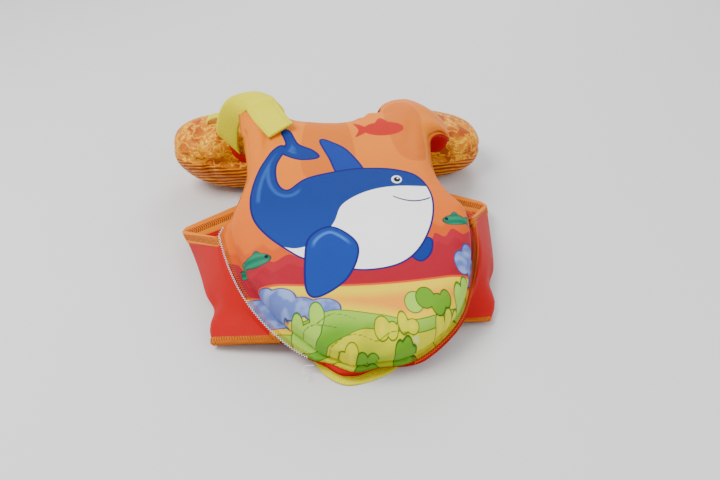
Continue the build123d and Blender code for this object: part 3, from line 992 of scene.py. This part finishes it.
def make_chest_stitches():
    for side, sign, first, overlock in (("right", 1, 40, ORANGE_THREAD), ("left", -1, 60, WHITE_THREAD)):
        places = [k for k, (u, s) in enumerate(EDGE) if sign * u > first and 8 < s < 200]
        start, end = min(places), max(places)
        zigzag(side + "_edge_flatlock", edge_run(start, end, 3.6, PLATE), 0, 1.7, 0.25, 1.5, 0.34,
               ORANGE_THREAD, "chest")
        zigzag(side + "_edge_overlock", edge_run(start, end, 0.0, PLATE * 0.7), 0, 1.0, 0.5, 1.5, 0.38,
               overlock, "chest")


def make_loose_thread():
    """The cut end of the overlock thread, left hanging at the lower left corner."""
    tail = curve_through([(-58, -204, 12.0), (-66, -201, 9.5), (-70, -206, 8.0), (-64, -211, 6.8),
                          (-68, -215, 5.0)], 40)
    thread("overlock_thread_end", tail, 0.40, WHITE_THREAD, "chest")


# ---- the two side wings
# Each wing is a neoprene panel folded round the wearer's side. Its section is given at the hem, half way
# and at the armhole as: front seam, the place where it leaves the float, fold, back seam, and how far
# the fold's rounding reaches.
WING_STATIONS = {
    "left": (((-92, -175, 28), (-90, -174, 19), (-206, -150, 6.0), (-74, -162, 5.6), 92.0),
             ((-129, -118, 50), (-134, -117, 44), (-176, -76, 8.0), (-98, -76, 5.6), 22.0),
             ((-146, -51, 73), (-150, -50, 69), (-204, 40, 19.0), (-122, 97, 16.0), 13.0)),
    "right": (((-104, -160, 32), (-94, -163, 14), (-158, -162, 6.0), (-74, -152, 5.6), 40.0),
              ((-131, -118, 46), (-134, -117, 42), (-170, -76, 8.0), (-98, -76, 5.6), 20.0),
              ((-139, -51, 68), (-141, -50, 66), (-193, 46, 18.0), (-122, 97, 16.0), 13.0))}
WING_COLUMNS = 64
WING_LENGTH = 165.0
ARMHOLE_BINDING, HEM_BINDING = 15.0, 13.0


def wing_section(side, v):
    """One line across a wing from its front seam round the fold to its back seam; v is 0 at the hem."""
    weights = (2 * (v - 0.5) * (v - 1), -4 * v * (v - 1), 2 * v * (v - 0.5))
    root, front, fold, back, reach = (sum(w * np.asarray(station[k], float)
                                          for w, station in zip(weights, WING_STATIONS[side]))
                                      for k in range(5))
    to_front, to_back = front - fold, back - fold
    a = fold + to_front * min(1, reach / np.linalg.norm(to_front))
    b = fold + to_back * min(1, reach / np.linalg.norm(to_back))
    t = np.linspace(0, 1, 24)[:, None]
    bend = (1 - t) ** 2 * a + 2 * t * (1 - t) * fold + t**2 * b
    drop = np.linspace(root, front, 6)[:-1]
    line = np.vstack([drop, np.linspace(front, a, 16)[:-1], bend, np.linspace(b, back, 20)[1:]])
    along = length_along(line)
    half = along[len(drop) + 15 + 12] / along[-1]    # how far along the middle of the fold is
    even = np.linspace(0, 1, WING_COLUMNS)
    share = np.where(even < 0.5, even / 0.5 * half, half + (even - 0.5) / 0.5 * (1 - half))
    return sample(line, along, share * along[-1])


def wing_surface(side, vs):
    return np.array([wing_section(side, v) for v in vs])


def surface_normals(grid):
    du, dv = np.gradient(grid, axis=1), np.gradient(grid, axis=0)
    return unit(np.cross(dv, du))


def wing_drape(grid, normals, vs):
    """Soft bulges and creases of the neoprene between its seams."""
    columns = np.linspace(0, 1, grid.shape[1])[None, :]
    v = np.asarray(vs)[:, None]
    bulge = 3.2 * np.sin(np.pi * np.clip(columns / 0.5, 0, 1)) * np.sin(np.pi * np.clip(v, 0, 1)) ** 0.7
    crease = -5.5 * hump(v, 0.36 + 0.34 * (0.5 - columns), 0.085) * smooth(columns, 0.16, 0.42)
    crease *= 1 - smooth(columns, 0.50, 0.60)
    ridge = 2.6 * hump(v, 0.17 + 0.2 * (0.5 - columns), 0.09) * smooth(columns, 0.1, 0.4)
    ridge *= 1 - smooth(columns, 0.48, 0.56)
    return grid + normals * (bulge + crease + ridge)[:, :, None]


def thick_sheet(name, grid, normals, thickness):
    """A closed sheet of even thickness over a grid of points."""
    rows, columns = grid.shape[:2]
    last = (rows - 1) * columns
    rim = [*range(columns), *range(2 * columns - 1, rows * columns, columns),
           *range(last + columns - 2, last - 1, -1), *range(last - columns, 0, -columns)]
    upper, lower = ((grid + side * normals * thickness / 2).reshape(-1, 3) for side in (1, -1))
    return layered(name, upper, lower, grid_faces(rows, columns, False), zip(rim, rim[1:] + rim[:1]))


def make_wing(side, sign):
    """side is as the photograph shows it, and sign is -1 on the left and 1 on the right."""
    flip = np.array((-sign, 1.0, 1.0))
    motion = across_joint(side + "_wing_swing", 0.003, 0.010, (0, 0, -1))
    vs = np.linspace(0.012, 0.988, 54)
    grid = wing_surface(side, vs)
    grid = wing_drape(grid, surface_normals(grid), vs) * flip
    normals = surface_normals(grid)
    grid[:, :, 2] = np.maximum(grid[:, :, 2], 5.7)
    panel = thick_sheet(side + "_wing_panel", grid, normals, 3.0)
    dress(panel, RED, motion, "red", side + "_side_panel")

    for name, outer, inner, row in (("armhole", 1.0, 1 - ARMHOLE_BINDING / WING_LENGTH, -1),
                                    ("hem", 0.0, HEM_BINDING / WING_LENGTH, 0)):
        edge, depth = (wing_drape(wing_surface(side, [v]), normals[row] * flip, [v])[0] * flip
                       for v in (outer, inner))
        for line in (edge, depth):
            line[:, 2] = np.maximum(line[:, 2], 5.4)
        tape = band(f"{side}_{name}_tape", edge, depth, 5.0, 0.55, 13)
        dress(tape, BINDING, motion, "binding", f"{side}_{name}_binding")
        middle, across = (edge + depth) / 2, unit(depth - edge)
        normal = unit(np.cross(np.gradient(middle, axis=0), across))
        for face, turned in (("outer", normal), ("inner", -normal)):
            for row_name, offset in (("low", -2.6), ("high", 2.6)):
                zigzag(f"{side}_{name}_stitch_{face}_{row_name}", (middle, across, turned), offset, 1.4, 2.55,
                       1.7, 0.30, ORANGE_THREAD, motion)


BACK_PANEL = [(-72, -162), (-67, -150), (-78, -60), (-78, 20), (-88, 96), (-123.5, 96), (-99.5, -76)]


def make_back_panel(side, sign):
    outline = resample(np.array(BACK_PANEL) * (-sign, 1), 3.0, closed=True)
    if sign > 0:
        outline = outline[::-1]

    def level(at, inside, upper):
        """The panel's top outer corner is held up by the armhole's edge."""
        lift = 5.6 + 10.4 * smooth(at[:, 1], -20, 96) * smooth(np.abs(at[:, 0]), 84, 121)
        return lift + (1.5 if upper else -1.5) * swell(inside, 1.5, 2)

    panel = lens(side + "_back_neoprene", outline, 5.0, level, lambda flat: flat)
    dress(panel, RED, side + "_wing", "red", side + "_back_panel")
    seam = curve_through([(-75, -158, 7.2), (-97, -76, 7.2), (-109, 15, 8.2), (-120.5, 94, 17.6)], 60)
    seam = resample(seam * (-sign, 1, 1), 2.0)
    up = np.tile((0, 0, 1.0), (len(seam), 1))
    zigzag(side + "_back_seam", (seam, np.cross(np.gradient(seam, axis=0), up), up), 0, 1.8, 0.3, 1.6, 0.35,
           WHITE_THREAD, side + "_wing")


# ---- belt and buckle
def box_stitch(name, x_low, x_high, body):
    """A box with a cross in it, as sewn where the belt's webbing ends on a panel."""
    y_low, y_high, z = -32, -8, 1.45
    corners = [(x_low, y_low), (x_high, y_low), (x_high, y_high), (x_low, y_high), (x_low, y_low),
               (x_high, y_high), (x_high, y_low), (x_low, y_high)]
    line = resample(np.array(corners, float), 1.5)
    dip = 0.22 * (np.arange(len(line)) % 2)
    thread(name, np.column_stack([line, z - dip]), 0.32, YELLOW_THREAD, body)


def make_belt():
    for side, x_low, x_high in (("left", -112, -37), ("right", 36, 112)):
        lines = (np.column_stack([np.linspace(x_low, x_high, 40), np.full((40, 2), (y, 2.7))])
                 for y in (-36, -4))
        strap = band(side + "_belt_strap", *lines, 2.2)
        dress(strap, YELLOW, side + "_wing", "webbing", side + "_belt_webbing")
    for side, x_low in (("left", -108), ("right", 82)):
        box_stitch(side + "_belt_box_stitch", x_low, x_low + 26, side + "_wing")
    for name in ("buckle_male_base", "buckle_prong_front", "buckle_prong_rear", "buckle_female",
                 "belt_slider"):
        coat(frame["nodes"][name], PLASTIC)


# ---- straps
def make_shoulder_strap():
    """The yellow strap that goes once round the left shoulder arch, and its loose end."""
    outer = [(-146, 150, 78), (-152, 146, 97), (-148, 142, 120), (-138, 138, 141), (-124, 136.5, 151.5),
             (-100, 136, 155.5), (-86, 136, 152), (-75, 134.5, 144), (-64, 134, 130), (-64, 137, 112),
             (-78, 141, 101), (-104, 147, 90), (-130, 150, 76)]
    inner = [(-120, 136, 58), (-126, 135, 74), (-124, 132, 100), (-119, 126, 121), (-113, 117, 136.5),
             (-104, 110, 146.5), (-90, 107, 150.5), (-77, 107, 151), (-65, 104, 136), (-63, 110, 117),
             (-74, 118, 104), (-98, 130, 88), (-114, 138, 62)]
    strap = band("shoulder_strap_band", curve_through(outer, 150), curve_through(inner, 150), 2.4, 0.5, 13)
    dress(strap, YELLOW, "chest", "webbing", "shoulder_strap_wrap")

    left = curve_through([(-108, 116, 149), (-109.5, 108, 148.5), (-108, 101, 145.5), (-99, 78, 141),
                          (-85, 49, 136)], 60)
    right = curve_through([(-78, 119, 156), (-74, 111, 156), (-70, 103, 152), (-64, 86, 149),
                           (-55, 63, 145.5)], 60)
    tab = band("shoulder_strap_end", left, right, 3.6, 0.6, 13)
    motion = across_joint("strap_end_lift", 0.004, 0.009, (0.44, -0.87, -0.1))
    dress(tab, YELLOW, motion, "webbing", "strap_end_tab")
    middle, across = (left + right) / 2, right - left
    normal = np.cross(np.gradient(middle, axis=0), unit(across))
    normal *= np.sign(normal[:, 2:3])
    run = [rows[4:-3] for rows in (middle, across, normal)]
    for side, offset in (("left", -13.5), ("right", 13.5)):
        zigzag("strap_end_stitch_" + side, run, offset, 0.15, 1.95, 2.4, 0.32, YELLOW_THREAD, motion)


def make_crotch_strap():
    """The strap folded into a loop that shows under the hem."""
    outer = [(-57, -170, 9), (-58.5, -186, 6), (-52, -203, 3), (-42, -216, 1.6), (-28, -225, 1.3),
             (-13, -225, 1.3), (2, -221.5, 1.4), (17, -215.5, 1.8), (34, -203, 2.4), (48, -186, 3)]
    inner = [(-44, -169, 12), (-44, -184, 14), (-41, -196, 14.5), (-34, -205, 13.5), (-25, -210, 10),
             (-14, -208, 4.6), (-3, -204, 3.2), (12, -198, 3.2), (26, -188, 3.6), (38, -174, 4)]
    loop = band("crotch_loop_strap", curve_through(outer, 110), curve_through(inner, 110), 2.2, 0.5, 11)
    dress(loop, YELLOW, "crotch_loop", "webbing", "crotch_strap")


# ---- the collar
COLLAR_LENGTH, COLLAR_DEPTH, COLLAR_MIDDLE = 214.0, 56.5, 175.0


def collar_seam(x):
    return 45 + 8 * smooth(-x, 50, 100) + 15 * smooth(-x, 105, 205) - 2 * smooth(x, 120, 205)


def collar_top(x):
    """The cushion's top: high at the left end, low across the neck."""
    neck = 1 - smooth(np.abs(x), 62, 118)
    return 91 + 11 * smooth(-x, 85, 165) - 9 * smooth(x, 90, 190) - 34 * neck


def collar_bottom(x):
    return 0.6 + 8 * smooth(-x, 140, 205) + 2 * smooth(x, 150, 205)


def make_collar():
    stations, around = 96, 64
    angle = np.linspace(0, 2 * np.pi, around, endpoint=False)
    cos, sin = np.cos(angle), np.sin(angle)
    points = []
    for share in np.sin(np.linspace(-1, 1, stations) * np.pi / 2):
        x = share * COLLAR_LENGTH
        end = max(1 - abs(share) ** 6.5, 0) ** (1 / 2.6)
        seam, top, bottom = collar_seam(x), collar_top(x), collar_bottom(x)
        y = COLLAR_MIDDLE + COLLAR_DEPTH * end * np.sign(cos) * np.abs(cos) ** 0.72
        rise = np.sign(sin) * np.abs(sin) ** 0.78 * end
        z = seam + np.where(rise > 0, (top - 2 - seam) * rise, (seam - bottom - 1) * rise)
        points += list(zip(np.full(around, x), y, z))
    collar = mesh_object("collar_cushion", np.array(points) * MM, grid_faces(stations, around))
    recalculate(collar)
    puff(collar, 0.005, 3.2, 0.005)
    shaped = get_points(collar) / MM
    x, y, z = shaped.T
    rise = z - collar_seam(x)
    away = shaped - np.column_stack([x * 0.80, np.full_like(x, COLLAR_MIDDLE), collar_seam(x)])
    away[:, 2] = 0
    shaped -= unit(away) * (3.6 * hump(rise, 0, 3.2))[:, None]
    front = 1 - smooth(y, COLLAR_MIDDLE - 30, COLLAR_MIDDLE + 10)
    shaped[:, 1] += 9.0 * front * smooth(-rise, 8, 36) * smooth(-x, 80, 120)
    for middle, reach, amount in ((-118, 34, 17), (122, 30, 13)):
        shaped[:, 1] += amount * hump(x, middle, reach) * smooth(z, 34, 70) * front
    pinch = hump(x, -168 - 0.25 * (z - 62), 7.0) * smooth(-y, -160, -135)
    shaped[:, 1] += 4.0 * pinch * smooth(z, 18, 40)
    shaped[:, 2] = np.maximum(shaped[:, 2], 0.4)
    set_points(collar, shaped * MM)
    store(collar, "rise", np.column_stack([rise, 0 * x, 0 * x]) * MM)
    dress(collar, GOLDEN, "collar", "golden", "collar_top_cover", "collar_bottom_cover",
          "collar_foam_left", "collar_foam_centre", "collar_foam_right")
    return collar


def make_collar_fittings():
    for side, sign in (("left", -1), ("right", 1)):
        xs = (sign * 74, sign * 120)
        path = curve_through([(147, 106.0), (152, 104.5), (156.5, 101.5), (159, 97), (160.5, 91.5)], 30)
        left, right = (np.column_stack([np.full(30, x), path]) for x in xs)
        tab = band(side + "_collar_strap", left, right, 2.4, 0.6, 13)
        motion = ("chest", "collar", (0, 0.152, 0.1045), (0, 0.1605, 0.093))
        dress(tab, YELLOW, motion, "webbing", side + "_collar_tab")
    angle = np.linspace(0, np.pi, 40)
    arch = np.column_stack([-150 - 15 * np.cos(angle), np.zeros(40), 97 + 9.5 * np.sin(angle) ** 0.7])
    loop = band("hanging_loop", arch + (0, 168, 0), arch + (0, 182, 0), 1.8)
    dress(loop, YELLOW, "collar", "webbing", "collar_hang_loop")


def make_collar_gussets(collar):
    """Red neoprene on the collar's front where the shoulders join it: a tongue beside the right arch and
    a strip under the left arch's strap."""
    mesh = collar.data
    surface = BVHTree.FromPolygons([v.co for v in mesh.vertices], [p.vertices for p in mesh.polygons])
    rings, spokes = 12, 48
    front = []
    for radius in np.linspace(0, 1, rings):
        for turn in np.linspace(0, 2 * np.pi, spokes, endpoint=False):
            along, across = 18 * radius * np.cos(turn), 12 * radius * np.sin(turn)
            x = 144 + 0.76 * along - 0.65 * across
            z = min(68 + 0.65 * along + 0.76 * across, 76)
            hit = surface.ray_cast(Vector((x, 60, z)) * MM, Vector((0, 1, 0)))[0]
            front.append((x, hit.y / MM - 0.2 - 1.8 * (1 - radius**6), z))
    front = np.array(front)
    rim = [*range((rings - 1) * spokes, rings * spokes)]
    tongue = layered("right_collar_gusset", front, front + (0, 4, 0), grid_faces(rings, spokes),
                     zip(rim, rim[1:] + rim[:1]))
    dress(tongue, RED, "collar", "red")

    upper = [(-150, 150, 97), (-142, 144, 86), (-128, 137, 71), (-108, 137, 58), (-92, 140, 56)]
    lower = [(-155, 150, 90), (-148, 144, 77), (-133, 138, 60), (-110, 138, 46), (-92, 141, 44)]
    strip = band("left_collar_gusset", curve_through(upper, 60), curve_through(lower, 60), 4.0, 0.2, 15)
    dress(strip, RED, "collar", "red")


# ---- everything together
make_chest()
make_chest_stitches()
make_loose_thread()
for side_name, side_sign in (("left", -1), ("right", 1)):
    make_wing(side_name, side_sign)
    make_back_panel(side_name, side_sign)
make_belt()
make_shoulder_strap()
make_crotch_strap()
make_collar_gussets(make_collar())
make_collar_fittings()

reach = 40.0
floor = mesh_object("floor", [(-reach, -reach, 0), (reach, -reach, 0), (reach, reach, 0), (-reach, reach, 0)],
                    [(0, 1, 2, 3)])
coat(floor, floor_paint())
